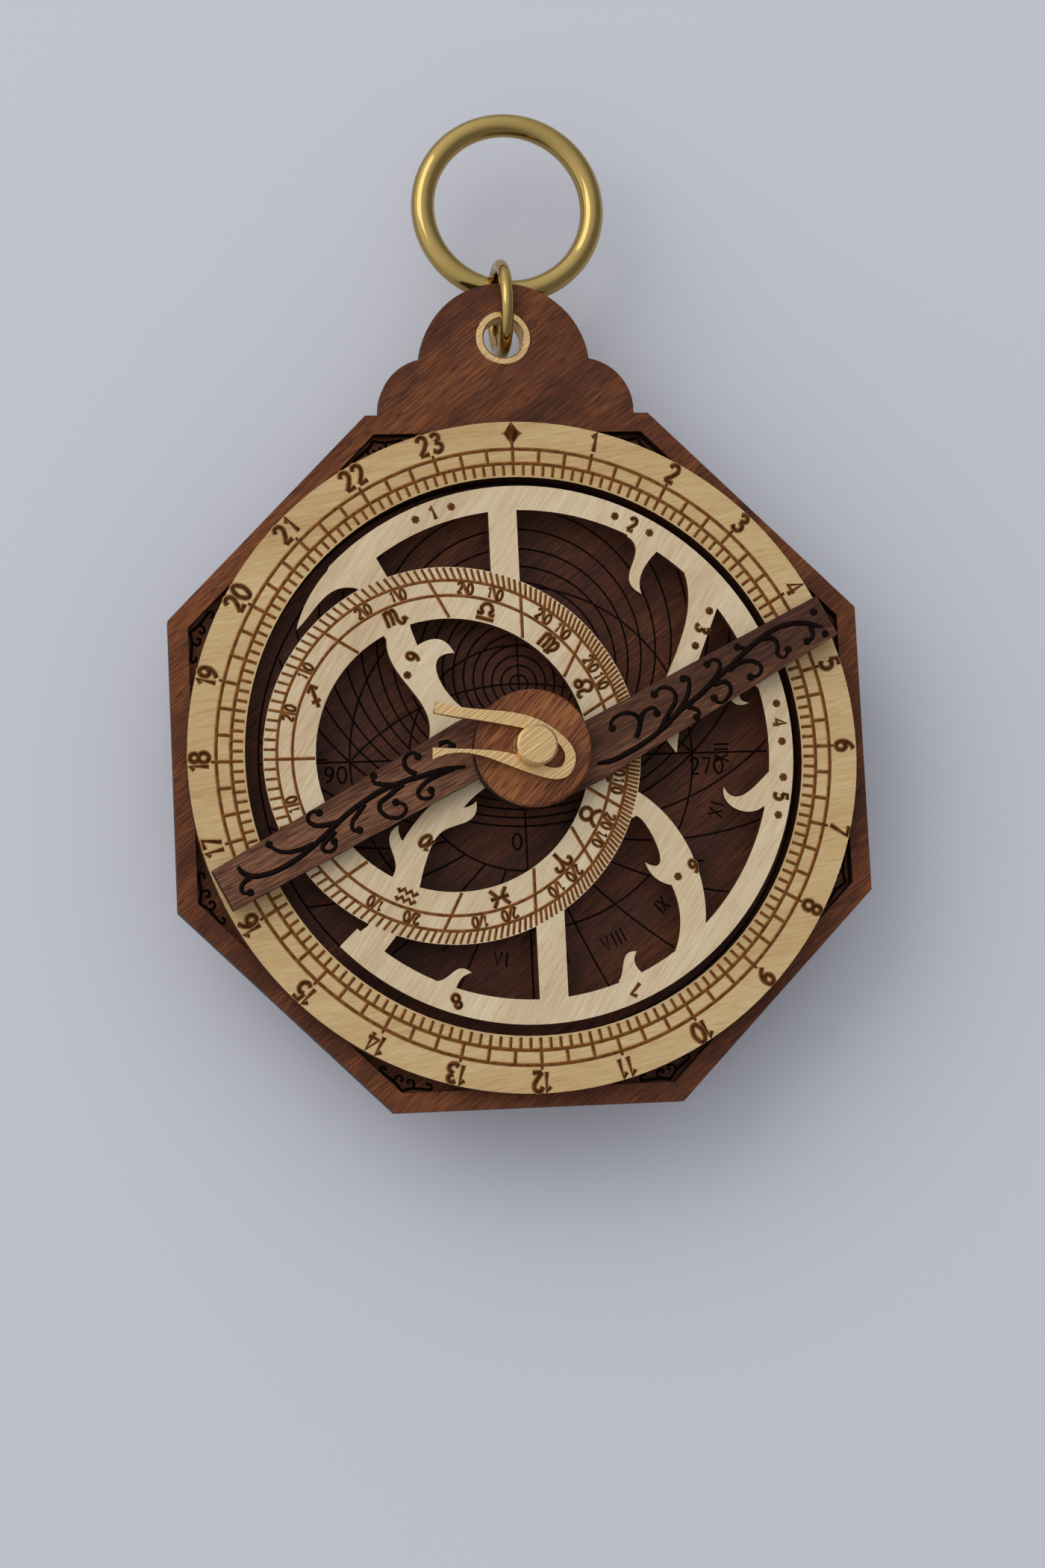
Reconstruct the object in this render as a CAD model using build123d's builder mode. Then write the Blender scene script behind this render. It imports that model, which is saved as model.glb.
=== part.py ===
from build123d import *
from math import cos, radians, sin, sqrt, tan
import os

os.makedirs("parts", exist_ok=True)

# A wooden planispheric astrolabe, in millimetres. It stands face up on the two sight
# vanes of its rear alidade, +Z is the side that is read and +Y points at the throne.

# Driving dimensions
# Boards
border_width = 2.9
frame_thick = 2.6
back_thick = 1.4
back_inset = 0.3
# Throne
dome_radius = 13.1
dome_rise = 7.3
lobe_radius = 8.0
lobe_spread = 11.6
lobe_rise = 0.7
eyelet_rise = 4.55
bush_outer = 8.6
bush_inner = 6.1
bush_proud = 0.15
bush_chamfer = 0.25
# Limb and well
limb_width = 8.5
limb_lap = 1.0
limb_thick = 3.0
# Plate with the local sky
plate_thick = 1.3
plate_clearance = 0.2
peg_diameter = 2.0
peg_depth = 0.7
peg_inset = 2.9
# Star net
rete_outer_radius = 40.5
rete_ring_width = 3.7
rete_play = 1.6
tropic_inset = 1.04
rete_thick = 1.5
rete_lift = 3.9
obliquity = 23.44
ecliptic_ring_width = 7.8
ecliptic_edge = 0.07
meridian_bar_width = 4.3
hub_radius = 6.6
gap_from = 135.0
gap_to = 223.6
# Rule
rule_end_gap = 0.5
rule_root_width = 8.9
rule_root_reach = 8.0
rule_tip_width = 6.6
rule_thick = 2.5
rule_angle = 26.5
rule_air = 0.2
boss_radius = 8.8
boss_thick = 2.6
boss_chamfer = 0.3
# Centre pin and the wedge that holds the stack, called the horse
pin_diameter = 6.1
pin_neck = 3.0
pin_head_height = 2.6
pin_head_chamfer = 0.35
rear_head_diameter = 8.6
rear_head_height = 1.8
horse_thick = 1.25
horse_reach = 15.3
# Rear alidade with its two sights
washer_diameter = 12.0
washer_thick = 0.5
alidade_point = 6.0
alidade_width = 12.0
alidade_hub_radius = 9.0
alidade_thick = 2.3
vane_inset = 14.5
vane_width = 12.0
vane_thick = 2.0
vane_height = 13.5
vane_tenon = 6.0
vane_corner = 2.5
sight_hole = 2.4
pin_hole = 1.0
sight_hole_height = 6.0
pin_hole_height = 10.0
# Rings
shackle_outer = 15.4
shackle_wire = 2.0
shackle_aside = 0.5
shackle_drop = 0.7
shackle_edge_gap = 2.9
ring_outer = 30.1
ring_wire = 3.6
ring_aside = 2.6
ring_air = 0.4
ring_edge_gap = 0.3
wire_sides = 16
# Clearances
fit = 0.05
slip = 0.1

# Heights above the surface that the instrument stands on
alidade_z = vane_height
washer_z = alidade_z + alidade_thick + slip
back_z = washer_z + washer_thick
frame_z = back_z + back_thick
face_z = frame_z + frame_thick
plate_top_z = frame_z + plate_thick
rete_z = plate_top_z + rete_lift
rule_z = rete_z + rete_thick + rule_air
boss_z = rule_z + rule_thick
horse_z = boss_z + boss_thick + fit
head_z = horse_z + horse_thick + fit
pin_top_z = head_z + pin_head_height

# Sizes on the dial, from the star net outwards. The limb clears the net and laps over the
# border at the flats of the octagon, and the rule ends just inside the edge of the limb.
well_radius = rete_outer_radius + rete_play
limb_outer_radius = well_radius + limb_width
apothem = limb_outer_radius - limb_lap + border_width
rule_half_length = limb_outer_radius - rule_end_gap
vane_distance = apothem - vane_inset
alidade_half_length = vane_distance + vane_thick + alidade_point

# Places on the dial, seen from the centre pin
dome_y = apothem + dome_rise
lobe_y = apothem + lobe_rise
eyelet_y = dome_y + eyelet_rise
throne_top_y = dome_y + dome_radius
bore_radius = pin_diameter / 2 + fit
plate_radius = well_radius - plate_clearance
peg_y = plate_radius - peg_inset

# The net is a map of the sky from the pole down to the southern tropic, and the zodiac
# ring is the sun's yearly path on it, a little trimmed at its edge
equator_radius = (rete_outer_radius - tropic_inset) / tan(radians(45 + obliquity / 2))
ecliptic_x = -equator_radius * tan(radians(obliquity))
ecliptic_radius = equator_radius / cos(radians(obliquity)) + ecliptic_edge
bar_root = sqrt((ecliptic_radius - ecliptic_ring_width / 2) ** 2 - ecliptic_x**2)

# The shackle lies in an upright plane and its wire goes down through the eyelet. Its inner
# circle passes round the edge of the throne, and the ring's wire lies inside that circle.
shackle_mean = (shackle_outer - shackle_wire) / 2
shackle_y = throne_top_y - shackle_edge_gap
shackle_z = back_z - shackle_drop
ring_mean = (ring_outer - ring_wire) / 2
ring_near_y = throne_top_y + ring_edge_gap
ring_z = back_z - ring_wire / 2 - ring_air
ring_y = ring_near_y + ring_mean

# The pivot is set back so that the whole object is centred on the origin
pivot_y = -(ring_y + ring_outer / 2 - apothem) / 2


def level(height):
    """The plane at a height, with its origin on the centre pin."""
    return Plane(origin=(0, pivot_y, height))


def polar(radius, degrees):
    """A point on the dial from its distance to the pin and its bearing."""
    return (radius * cos(radians(degrees)), radius * sin(radians(degrees)))


def octagon(half_width, mode=Mode.ADD):
    """An eight-sided outline with a flat at the top."""
    RegularPolygon(half_width, 8, major_radius=False, rotation=22.5, mode=mode)


def board_outline(inset):
    """The dial board with its three-lobed throne, drawn in by the inset."""
    octagon(apothem - inset)
    with Locations((0, dome_y)):
        Circle(dome_radius - inset)
    with Locations((-lobe_spread, lobe_y), (lobe_spread, lobe_y)):
        Circle(lobe_radius - inset)


def sky(x, y):
    """A point of the star net, in radii of the equator as on a star map."""
    return (x * equator_radius, y * equator_radius)


def clip(x, y):
    """A point of the horse, as a share of how far its legs reach from the pin."""
    return (x * horse_reach, y * horse_reach)


def outline(start, *stretches):
    """A closed outline of smooth stretches, each through the points given for it."""
    with BuildLine() as edge:
        at = start
        for stretch in stretches:
            if len(stretch) == 1:
                Line(at, stretch[0])
            else:
                Spline(at, *stretch)
            at = stretch[-1]
        Line(at, start)
    make_face(edge.line)


def ring_at(degrees):
    """A point on the middle of the star net's outer ring."""
    return polar(rete_outer_radius - rete_ring_width / 2, degrees)


def ecliptic_at(degrees):
    """A point on the middle of the zodiac ring, by its bearing from that ring's centre."""
    x, y = polar(ecliptic_radius - ecliptic_ring_width / 2, degrees)
    return (x + ecliptic_x, y)


def hub_at(degrees):
    """A point on the hub of the star net, between its bore and its rim."""
    return polar((hub_radius + bore_radius) / 2, degrees)


# Back board: a thin octagon with its throne, a little smaller than the frame on it
with BuildPart() as back_board:
    with BuildSketch(level(back_z)):
        board_outline(back_inset)
        Circle(bore_radius, mode=Mode.SUBTRACT)
        with Locations((0, eyelet_y)):
            Circle(bush_outer / 2, mode=Mode.SUBTRACT)
    extrude(amount=back_thick)
    with BuildSketch(level(frame_z)):
        with Locations((0, peg_y)):
            Circle(peg_diameter / 2)
    extrude(amount=-peg_depth, mode=Mode.SUBTRACT)
back_board.part.label = "back_board"
export_step(back_board.part, "parts/back_board.step")

# Rim frame: the narrow octagonal border and the throne are one board
with BuildPart() as rim_frame:
    with BuildSketch(level(frame_z)):
        board_outline(0)
        octagon(apothem - border_width, mode=Mode.SUBTRACT)
        with Locations((0, eyelet_y)):
            Circle(bush_outer / 2, mode=Mode.SUBTRACT)
    extrude(amount=frame_thick)
rim_frame.part.label = "rim_frame"
export_step(rim_frame.part, "parts/rim_frame.step")

# Well ring: it fills the frame under the limb and leaves the eight corners open
with BuildPart() as well_ring:
    with BuildSketch(level(frame_z)):
        Circle(apothem - border_width - fit)
        Circle(well_radius, mode=Mode.SUBTRACT)
    extrude(amount=frame_thick)
well_ring.part.label = "well_ring"
export_step(well_ring.part, "parts/well_ring.step")

# Limb: the pale scale ring lies on the well ring and laps over the border at the flats
with BuildPart() as limb_ring:
    with BuildSketch(level(face_z)):
        Circle(limb_outer_radius)
        Circle(well_radius, mode=Mode.SUBTRACT)
    extrude(amount=limb_thick)
limb_ring.part.label = "limb_ring"
export_step(limb_ring.part, "parts/limb_ring.step")

# Plate: it lies in the well and a peg under the star net keeps it from turning
with BuildPart() as tympan_plate:
    with BuildSketch(level(frame_z)):
        Circle(plate_radius)
        Circle(bore_radius, mode=Mode.SUBTRACT)
        with Locations((0, peg_y)):
            Circle(peg_diameter / 2 + fit, mode=Mode.SUBTRACT)
    extrude(amount=plate_thick)
tympan_plate.part.label = "tympan_plate"
export_step(tympan_plate.part, "parts/tympan_plate.step")

with BuildPart() as plate_peg:
    with BuildSketch(level(frame_z - peg_depth)):
        with Locations((0, peg_y)):
            Circle(peg_diameter / 2)
    extrude(amount=peg_depth + plate_thick)
plate_peg.part.label = "plate_peg"
export_step(plate_peg.part, "parts/plate_peg.step")

# Hub spacer: it lifts the star net off the plate, to just above the limb
with BuildPart() as hub_spacer:
    with BuildSketch(level(plate_top_z)):
        Circle(hub_radius)
        Circle(bore_radius, mode=Mode.SUBTRACT)
    extrude(amount=rete_lift - slip)
hub_spacer.part.label = "hub_spacer"
export_step(hub_spacer.part, "parts/hub_spacer.step")

# Star net: an open ring, the zodiac ring set off its centre, two meridian bars, and the
# curved star pointers that grow from the rings. All of it is cut from one thin board.
with BuildPart() as rete:
    with BuildSketch(level(rete_z)):
        Circle(rete_outer_radius)
        Circle(rete_outer_radius - rete_ring_width, mode=Mode.SUBTRACT)
        far = 2 * rete_outer_radius
        middle = (gap_from + gap_to) / 2
        with BuildLine():
            Polyline((0, 0), polar(far, gap_from), polar(far, middle), polar(far, gap_to), close=True)
        make_face(mode=Mode.SUBTRACT)
        with Locations((ecliptic_x, 0)):
            Circle(ecliptic_radius)
            Circle(ecliptic_radius - ecliptic_ring_width, mode=Mode.SUBTRACT)
        # The upper bar is read along its right edge and the lower bar along its left edge
        bar_end = rete_outer_radius - rete_ring_width / 2
        bar_length = bar_end - bar_root
        with Locations((-meridian_bar_width / 2, (bar_end + bar_root) / 2)):
            Rectangle(meridian_bar_width, bar_length)
        with Locations((meridian_bar_width / 2, -(bar_end + bar_root) / 2)):
            Rectangle(meridian_bar_width, bar_length)
        # Flame and strut where the outer ring ends at the upper left
        outline(
            ring_at(125.5),
            [sky(-0.8301, 1.1506)],
            [sky(-0.7722, 1.0425)],
            [ecliptic_at(107.5)],
            [ecliptic_at(118.5)],
            [sky(-0.9459, 0.9749)],
            [sky(-1.1004, 0.9556), sky(-1.2259, 0.8301), sky(-1.3069, 0.7432)],
            [sky(-1.2066, 0.9653), sky(-1.1158, 1.0811)],
            [polar(rete_outer_radius, gap_from)],
        )
        # Strut where the outer ring starts again at the lower left
        outline(
            polar(rete_outer_radius, gap_to),
            [sky(-0.9653, -0.9653)],
            [ecliptic_at(-119)],
            [ecliptic_at(-110)],
            [sky(-0.8108, -1.0328)],
            [sky(-0.8842, -1.1197)],
            [ring_at(232)],
        )
        # Hook at the upper right
        outline(
            ring_at(63.5),
            [sky(0.6467, 1.2548)],
            [sky(0.6931, 1.1699), sky(0.6486, 1.0347), sky(0.7143, 0.9131)],
            [sky(0.7066, 0.9884), sky(0.7239, 1.0425), sky(0.8147, 1.1583)],
            [ring_at(54)],
        )
        # Long blade that ends under the rule
        outline(
            ring_at(47),
            [sky(0.9749, 1.0328)],
            [sky(0.9884, 0.8494), sky(0.8687, 0.4923), sky(0.7838, 0.2703), sky(0.8726, -0.0232)],
            [sky(0.9266, 0.2317), sky(1.0521, 0.5695), sky(1.1583, 0.8205)],
            [ring_at(34.8)],
        )
        # Small hook beside the rule
        outline(
            ring_at(19),
            [sky(1.3514, 0.4633)],
            [sky(1.2124, 0.417), sky(1.2201, 0.2664), sky(1.3166, 0.2587)],
            [sky(1.2625, 0.305), sky(1.2896, 0.3475), sky(1.3822, 0.3359)],
            [ring_at(13.4)],
        )
        # Flame at the right
        outline(
            ring_at(-4.5),
            [sky(1.4286, -0.1351)],
            [sky(1.3127, -0.2413), sky(1.2046, -0.2896), sky(1.139, -0.2317)],
            [sky(1.1486, -0.3089), sky(1.2355, -0.3726), sky(1.3707, -0.3475)],
            [sky(1.3803, -0.3861)],
            [ring_at(-16)],
        )
        # Barbed strut from the outer ring to the zodiac ring
        outline(
            ring_at(-45.5),
            [sky(0.9884, -1.027)],
            [sky(0.9807, -0.7915), sky(0.8649, -0.4865), sky(0.6371, -0.2471)],
            [ecliptic_at(-13.5)],
            [ecliptic_at(-20.5)],
            [sky(0.5985, -0.3958)],
            [sky(0.7336, -0.5792), sky(0.7336, -0.668), sky(0.6525, -0.6564)],
            [sky(0.7066, -0.7452), sky(0.8012, -0.7915)],
            [sky(0.8398, -0.9459), sky(0.7915, -1.1969)],
            [ring_at(-57)],
        )
        # Two small flames at the bottom
        outline(
            ring_at(-64.8),
            [sky(0.5946, -1.2838)],
            [sky(0.5598, -1.2162), sky(0.5753, -1.166)],
            [sky(0.5116, -1.1873), sky(0.4826, -1.2934), sky(0.4633, -1.332)],
            [ring_at(-71.3)],
        )
        outline(
            ring_at(-109.2),
            [sky(-0.4788, -1.3398)],
            [sky(-0.4402, -1.278), sky(-0.3861, -1.2548)],
            [sky(-0.473, -1.2355), sky(-0.5405, -1.2819), sky(-0.5792, -1.2934)],
            [ring_at(-114.8)],
        )
        # Two struts from the zodiac ring to the hub, each with a flame on its edge
        outline(
            ecliptic_at(119),
            [sky(-0.7915, 0.6757)],
            [sky(-0.7336, 0.4826), sky(-0.5849, 0.2606), sky(-0.5753, 0.0772)],
            [sky(-0.4826, -0.0772), hub_at(195)],
            [hub_at(130)],
            [sky(-0.2896, 0.2394)],
            [sky(-0.4633, 0.3764), sky(-0.5019, 0.5502), sky(-0.4015, 0.5888)],
            [sky(-0.4633, 0.6622), sky(-0.6139, 0.6371)],
            [sky(-0.6467, 0.7336)],
            [ecliptic_at(105)],
        )
        outline(
            ecliptic_at(-118.5),
            [sky(-0.8012, -0.666)],
            [sky(-0.8012, -0.5792), sky(-0.8243, -0.4923), sky(-0.7683, -0.3977)],
            [sky(-0.7683, -0.444), sky(-0.749, -0.4903)],
            [sky(-0.6564, -0.3668), sky(-0.4633, -0.2008), hub_at(205)],
            [hub_at(230)],
            [sky(-0.2703, -0.2046)],
            [sky(-0.332, -0.251), sky(-0.39, -0.3089)],
            [sky(-0.3475, -0.2973), sky(-0.3127, -0.2741)],
            [sky(-0.3436, -0.3707), sky(-0.5097, -0.4363), sky(-0.6139, -0.5946), sky(-0.6564, -0.7336)],
            [ecliptic_at(-107)],
        )
        # Hub, with a bridge to the near side of the zodiac ring under the rule
        Circle(hub_radius)
        outline(hub_at(25), [ecliptic_at(9)], [ecliptic_at(-9)], [hub_at(-25)])
        Circle(bore_radius, mode=Mode.SUBTRACT)
    extrude(amount=rete_thick)
rete.part.label = "rete"
export_step(rete.part, "parts/rete.step")

# Rule: two arms on opposite sides of one straight reading edge that runs through the pin
with BuildPart() as rule:
    with BuildSketch(level(rule_z).rotated((0, 0, rule_angle))):
        for side in (1, -1):
            with BuildLine():
                Polyline(
                    (0, 0),
                    (side * rule_half_length, 0),
                    (side * rule_half_length, -side * rule_tip_width),
                    (side * rule_root_reach, -side * rule_root_width),
                    (0, -side * rule_root_width + side * boss_chamfer),
                    close=True,
                )
            make_face()
        Circle(boss_radius - boss_chamfer)
        Circle(bore_radius, mode=Mode.SUBTRACT)
    extrude(amount=rule_thick)
rule.part.label = "rule"
export_step(rule.part, "parts/rule.step")

# Boss: a round washer glued on the rule, whose bore lets the head of the pin through
with BuildPart() as boss_disc:
    with BuildSketch(level(boss_z)):
        Circle(boss_radius)
        Circle(bore_radius, mode=Mode.SUBTRACT)
    extrude(amount=boss_thick)
    chamfer(boss_disc.edges().group_by(Axis.Z)[-1].sort_by(SortBy.LENGTH)[-1], boss_chamfer)
boss_disc.part.label = "boss_disc"
export_step(boss_disc.part, "parts/boss_disc.step")

# Centre pin: one turned brass bar with a wide rear head and a groove under the front head
with BuildPart() as centre_pin:
    with BuildSketch(Plane(origin=(0, pivot_y, 0), x_dir=(1, 0, 0), z_dir=(0, -1, 0))):
        with BuildLine():
            Polyline(
                (0, alidade_z - slip - rear_head_height),
                (rear_head_diameter / 2 - pin_head_chamfer, alidade_z - slip - rear_head_height),
                (rear_head_diameter / 2, alidade_z - slip - rear_head_height + pin_head_chamfer),
                (rear_head_diameter / 2, alidade_z - slip),
                (pin_diameter / 2, alidade_z - slip),
                (pin_diameter / 2, boss_z + boss_thick),
                (pin_neck / 2, boss_z + boss_thick),
                (pin_neck / 2, head_z),
                (pin_diameter / 2, head_z),
                (pin_diameter / 2, pin_top_z - pin_head_chamfer),
                (pin_diameter / 2 - pin_head_chamfer, pin_top_z),
                (0, pin_top_z),
                close=True,
            )
        make_face()
    revolve(axis=Axis((0, pivot_y, 0), (0, 0, 1)))
centre_pin.part.label = "centre_pin"
export_step(centre_pin.part, "parts/centre_pin.step")

# Horse: a flat brass clip whose two legs straddle the neck of the pin
with BuildPart() as horse:
    with BuildSketch(level(horse_z)):
        outline(
            clip(-0.935, 0.467),
            [
                clip(-0.458, 0.369), clip(0.000, 0.281), clip(0.248, 0.124), clip(0.392, -0.114),
                clip(0.301, -0.294), clip(0.013, -0.281), clip(-0.327, -0.147), clip(-1.000, -0.098),
            ],
            [clip(-0.993, 0.016)],
            [
                clip(-0.523, -0.016), clip(-0.176, -0.078), clip(0.065, -0.183), clip(0.255, -0.190),
                clip(0.288, -0.118), clip(0.157, 0.085), clip(-0.118, 0.186), clip(-0.523, 0.268),
                clip(-0.967, 0.356),
            ],
        )
    extrude(amount=horse_thick)
horse.part.label = "horse"
export_step(horse.part, "parts/horse.step")

# Bush in the throne's eyelet
with BuildPart() as eyelet_bush:
    with BuildSketch(level(back_z)):
        with Locations((0, eyelet_y)):
            Circle(bush_outer / 2)
            Circle(bush_inner / 2, mode=Mode.SUBTRACT)
    extrude(amount=back_thick + frame_thick + bush_proud)
    chamfer(eyelet_bush.edges().filter_by(GeomType.CIRCLE).group_by(Axis.Z)[-1], bush_chamfer)
eyelet_bush.part.label = "eyelet_bush"
export_step(eyelet_bush.part, "parts/eyelet_bush.step")

# Shackle: a small wire ring that hangs in the eyelet, across the board
shackle_centre = (shackle_aside, pivot_y + shackle_y, shackle_z)
with BuildPart() as shackle_ring:
    with BuildSketch(Plane(origin=shackle_centre)):
        with Locations((0, shackle_mean)):
            RegularPolygon(shackle_wire / 2, wire_sides)
    revolve(axis=Axis(shackle_centre, (1, 0, 0)))
shackle_ring.part.label = "shackle_ring"
export_step(shackle_ring.part, "parts/shackle_ring.step")

# Suspension ring: a heavy brass ring linked through the shackle, level at rest
ring_centre = (ring_aside, pivot_y + ring_y, ring_z)
with BuildPart() as suspension_ring:
    with BuildSketch(Plane(origin=ring_centre, x_dir=(1, 0, 0), z_dir=(0, -1, 0))):
        with Locations((ring_mean, 0)):
            RegularPolygon(ring_wire / 2, wire_sides)
    revolve(axis=Axis(ring_centre, (0, 0, 1)))
suspension_ring.part.label = "suspension_ring"
export_step(suspension_ring.part, "parts/suspension_ring.step")

# Rear washer between the back board and the alidade
with BuildPart() as rear_washer:
    with BuildSketch(level(washer_z)):
        Circle(washer_diameter / 2)
        Circle(bore_radius, mode=Mode.SUBTRACT)
    extrude(amount=washer_thick)
rear_washer.part.label = "rear_washer"
export_step(rear_washer.part, "parts/rear_washer.step")

# Alidade: the sighting bar on the back, with a slot at each end for a vane's tenon
with BuildPart() as alidade:
    with BuildSketch(level(alidade_z)):
        with BuildLine():
            Polyline(
                (alidade_width / 2, 0),
                (alidade_width / 2, vane_distance + vane_thick),
                (0, alidade_half_length),
                (-alidade_width / 2, vane_distance + vane_thick),
                (-alidade_width / 2, -vane_distance - vane_thick),
                (0, -alidade_half_length),
                (alidade_width / 2, -vane_distance - vane_thick),
                close=True,
            )
        make_face()
        Circle(alidade_hub_radius)
        Circle(bore_radius, mode=Mode.SUBTRACT)
        with Locations((0, vane_distance), (0, -vane_distance)):
            Rectangle(vane_tenon, vane_thick, mode=Mode.SUBTRACT)
    extrude(amount=alidade_thick)
alidade.part.label = "alidade"
export_step(alidade.part, "parts/alidade.step")

# Sight vanes: a large hole finds the star and a pinhole fixes it
for end, name in ((1, "sight_vane_upper"), (-1, "sight_vane_lower")):
    face = Plane(origin=(0, pivot_y + end * vane_distance, 0), x_dir=(1, 0, 0), z_dir=(0, -1, 0))
    with BuildPart() as sight_vane:
        with BuildSketch(face):
            with Locations((0, vane_height / 2)):
                Rectangle(vane_width, vane_height)
            with Locations((0, vane_height + alidade_thick / 2)):
                Rectangle(vane_tenon, alidade_thick)
            with Locations((0, vane_height - sight_hole_height)):
                Circle(sight_hole / 2, mode=Mode.SUBTRACT)
            with Locations((0, vane_height - pin_hole_height)):
                Circle(pin_hole / 2, mode=Mode.SUBTRACT)
        extrude(amount=vane_thick / 2, both=True)
        chamfer(sight_vane.edges().filter_by(Axis.Y).group_by(Axis.Z)[0], vane_corner)
    sight_vane.part.label = name
    export_step(sight_vane.part, f"parts/{name}.step")
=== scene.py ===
# %% [markdown]
# A pocket astrolabe of laser-cut wood, with brass fittings. The solids come packed as a fixed
# frame, and this lesson adds what the eye sees: wood, burnt engraving, brass, light and a table.
# Every piece is in metres, in the frame's own coordinates, so nothing has to be fitted by eye.

# %% Load the frame and find the dial
import math

import bmesh
import bpy
from mathutils import Matrix, Vector
from mathutils.bvhtree import BVHTree


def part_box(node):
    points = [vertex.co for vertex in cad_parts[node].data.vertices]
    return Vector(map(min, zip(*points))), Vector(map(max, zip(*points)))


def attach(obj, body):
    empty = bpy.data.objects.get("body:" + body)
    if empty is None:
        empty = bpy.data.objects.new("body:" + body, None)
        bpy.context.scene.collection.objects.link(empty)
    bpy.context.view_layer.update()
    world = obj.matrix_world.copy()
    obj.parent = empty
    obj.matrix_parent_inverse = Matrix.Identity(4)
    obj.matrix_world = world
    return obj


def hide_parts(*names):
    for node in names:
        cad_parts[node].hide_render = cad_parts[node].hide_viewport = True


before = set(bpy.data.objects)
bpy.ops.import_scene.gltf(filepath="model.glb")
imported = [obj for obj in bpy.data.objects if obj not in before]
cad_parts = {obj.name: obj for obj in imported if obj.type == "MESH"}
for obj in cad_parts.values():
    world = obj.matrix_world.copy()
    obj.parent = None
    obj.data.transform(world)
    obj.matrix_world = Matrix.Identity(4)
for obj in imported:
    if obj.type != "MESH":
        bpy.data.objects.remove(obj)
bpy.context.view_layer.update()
MM = 0.001
pin_low, pin_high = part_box("centre_pin")
pivot = (pin_low + pin_high) / 2
pivot.z = 0


def top_of(node):
    """The height of a node's upper face, in metres."""
    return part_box(node)[1].z


print("the dial turns about", tuple(round(value, 4) for value in pivot))

# %% [markdown]
# The photograph was taken by hand from above, a little to the left of the dial and below it. A
# camera could be aimed by eye, but its place and its directions were worked out from the octagon's
# eight corners, so they are set as a matrix. The long lens suits the distance of half a metre, and
# the frame is fitted by its height.

# %% Camera
CAMERA_PLACE = Vector((-85.35, -92.45, 533.91)) * MM
LOOK = Vector((0.16204, 0.12161, -0.97926))
RIGHT = Vector((0.98640, -0.04777, 0.15729))
UP = RIGHT.cross(LOOK)
SENSOR_MM = 36
LENS_MM = 80.31
camera_data = bpy.data.cameras.new("camera")
camera_data.sensor_fit = "VERTICAL"
camera_data.sensor_height = SENSOR_MM
camera_data.lens = LENS_MM
camera = bpy.data.objects.new("camera", camera_data)
turned = Matrix((RIGHT, UP, -LOOK)).transposed().to_4x4()
camera.matrix_world = Matrix.Translation(CAMERA_PLACE) @ turned
bpy.context.scene.collection.objects.link(camera)
bpy.context.scene.camera = camera
bpy.context.scene.view_settings.view_transform = "Standard"
print("camera", tuple(round(value, 3) for value in CAMERA_PLACE))

# %% [markdown]
# Materials are made from nodes. Colours are written as the hex values that a colour picker shows,
# and one function turns them into the linear numbers that the renderer works with. A second small
# function adds a node, sets it and joins it, so that a material reads as a short list.


# %% Colour and node helpers
def linear(code):
    """An sRGB hex colour as linear red, green, blue and alpha."""
    parts = [int(code[i : i + 2], 16) / 255 for i in (1, 3, 5)]
    return [p / 12.92 if p <= 0.04045 else ((p + 0.055) / 1.055) ** 2.4 for p in parts] + [1]


def add(material, kind, inputs=None, stops=None, **settings):
    """Adds one node: its settings, its colour stops, and its inputs as values or links."""
    made = material.node_tree.nodes.new(kind)
    for name, value in settings.items():
        setattr(made, name, value)
    if stops:
        elements = made.color_ramp.elements
        while len(elements) < len(stops):
            elements.new(0.5)
        for element, (place, code) in zip(elements, stops):
            element.position = place
            element.color = linear(code)
    for name, value in (inputs or {}).items():
        if isinstance(value, bpy.types.NodeSocket):
            material.node_tree.links.new(value, made.inputs[name])
        else:
            made.inputs[name].default_value = value
    return made


def blank(name):
    """A new material with an empty node tree."""
    material = bpy.data.materials.new(name)
    material.use_nodes = True
    material.node_tree.nodes.clear()
    return material


def finish_with(material, shader):
    """Joins the shader to the material's output."""
    add(material, "ShaderNodeOutputMaterial", {"Surface": shader.outputs["BSDF"]})
    return material


print("black and white are", linear("#000000")[:3], linear("#FFFFFF")[:3])

# %% [markdown]
# The boards are thin plywood, waxed or bare. A picture of wood could be laid on them, but noise in
# the object's own millimetres needs no file and shows no seam. Wood has three scales at once:
# broad bands of tone some millimetres wide, fibres of a quarter of a millimetre, and dark pores as
# short dashes. A Mapping node stretches all three along the grain.

# %% Grain
TONE_MM = 7
FIBRE_MM = 0.28
PORE_MM = 0.2
GRAIN_STRETCH = 14
PORE_FROM, PORE_TO = 0.62, 0.72


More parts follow.
